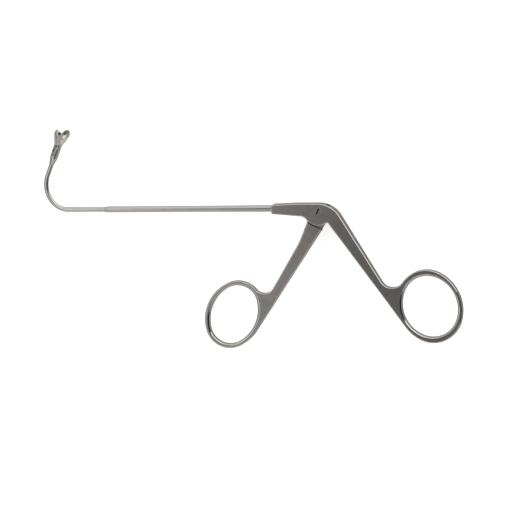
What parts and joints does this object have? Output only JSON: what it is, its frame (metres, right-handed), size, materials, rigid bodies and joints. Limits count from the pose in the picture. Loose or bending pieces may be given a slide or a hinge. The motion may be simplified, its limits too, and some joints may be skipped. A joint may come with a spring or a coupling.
{
  "type": "biopsy forceps",
  "caption": "Ring-handled cup biopsy forceps with a slim tubular shaft, a steeply curved tip and two small opposed cup jaws closed by the front handle.",
  "frame": {"origin": "pivot screw's axis where it meets the back face of the head", "axes": "+X along the shaft from the jaws towards the head, +Y away from the rings, +Z out of the front face, up off the table"},
  "size_m": [0.1734, 0.0911, 0.0096],
  "materials": {
    "handle_steel": "satin ground stainless steel, polished rings",
    "screw_steel": "satin turned stainless steel",
    "mechanism_steel": "machined stainless steel",
    "wire_steel": "drawn stainless wire",
    "tube_steel": "polished drawn stainless tube",
    "jaw_steel": "polished stainless steel"
  },
  "bodies": {
    "root": {"rear_handle": "handle_steel", "pivot_screw": "screw_steel", "shaft_tube": "tube_steel", "curved_tube": "tube_steel", "rod_guide_bush": "mechanism_steel", "jaw_housing": "jaw_steel", "jaw_pivot_pin": "jaw_steel"},
    "front_handle": {"front_handle": "handle_steel", "lever_pin": "mechanism_steel"},
    "drive": {"drive_rod": "mechanism_steel", "rod_end": "mechanism_steel", "rod_pin": "mechanism_steel", "pull_link": "mechanism_steel", "rod_collar": "mechanism_steel", "wire_straight": "wire_steel"},
    "lower_wire": {"wire_lower_bend": "wire_steel"},
    "upper_wire": {"wire_upper_bend": "wire_steel"},
    "tongue": {"jaw_tongue": "jaw_steel", "cam_pin": "jaw_steel", "wire_tip": "wire_steel"},
    "near_jaw": {"near_jaw": "jaw_steel"},
    "far_jaw": {"far_jaw": "jaw_steel"}
  },
  "joints": [
    {"name": "handle_pivot", "type": "hinge", "parent": "root", "child": "front_handle", "pos_m": [0, 0, 0.003], "axis": [0, 0, 1], "range_deg": [0, 16]},
    {"name": "rod_slide", "type": "slide", "parent": "root", "child": "drive", "axis": [1, 0, 0], "range_m": [0, 0.00091854]},
    {"name": "lower_wire_turn", "type": "hinge", "parent": "root", "child": "lower_wire", "pos_m": [-0.10439, 0.00954, 0.003], "axis": [0, 0, 1], "range_deg": [0, 6.21]},
    {"name": "upper_wire_turn", "type": "hinge", "parent": "root", "child": "upper_wire", "pos_m": [-0.10217, 0.01129, 0.003], "axis": [0, 0, 1], "range_deg": [0, 4.66]},
    {"name": "tongue_slide", "type": "slide", "parent": "root", "child": "tongue", "axis": [-0.3528, -0.9357, 0], "range_m": [0, 0.00091854]},
    {"name": "near_jaw_pivot", "type": "hinge", "parent": "root", "child": "near_jaw", "pos_m": [-0.10832, 0.027, 0.003], "axis": [-0.882, 0.3326, -0.3338], "range_deg": [0, 29]},
    {"name": "far_jaw_pivot", "type": "hinge", "parent": "root", "child": "far_jaw", "pos_m": [-0.10832, 0.027, 0.003], "axis": [0.882, -0.3326, 0.3338], "range_deg": [0, 29]}
  ],
  "couplings": [
    {"joint": "rod_slide", "follows": "handle_pivot", "m_per_rad": 0.0032893},
    {"joint": "lower_wire_turn", "follows": "handle_pivot", "ratio": 0.38835},
    {"joint": "upper_wire_turn", "follows": "handle_pivot", "ratio": 0.29109},
    {"joint": "tongue_slide", "follows": "handle_pivot", "m_per_rad": 0.0032893},
    {"joint": "near_jaw_pivot", "follows": "handle_pivot", "ratio": 1.8125},
    {"joint": "far_jaw_pivot", "follows": "handle_pivot", "ratio": 1.8125}
  ]
}
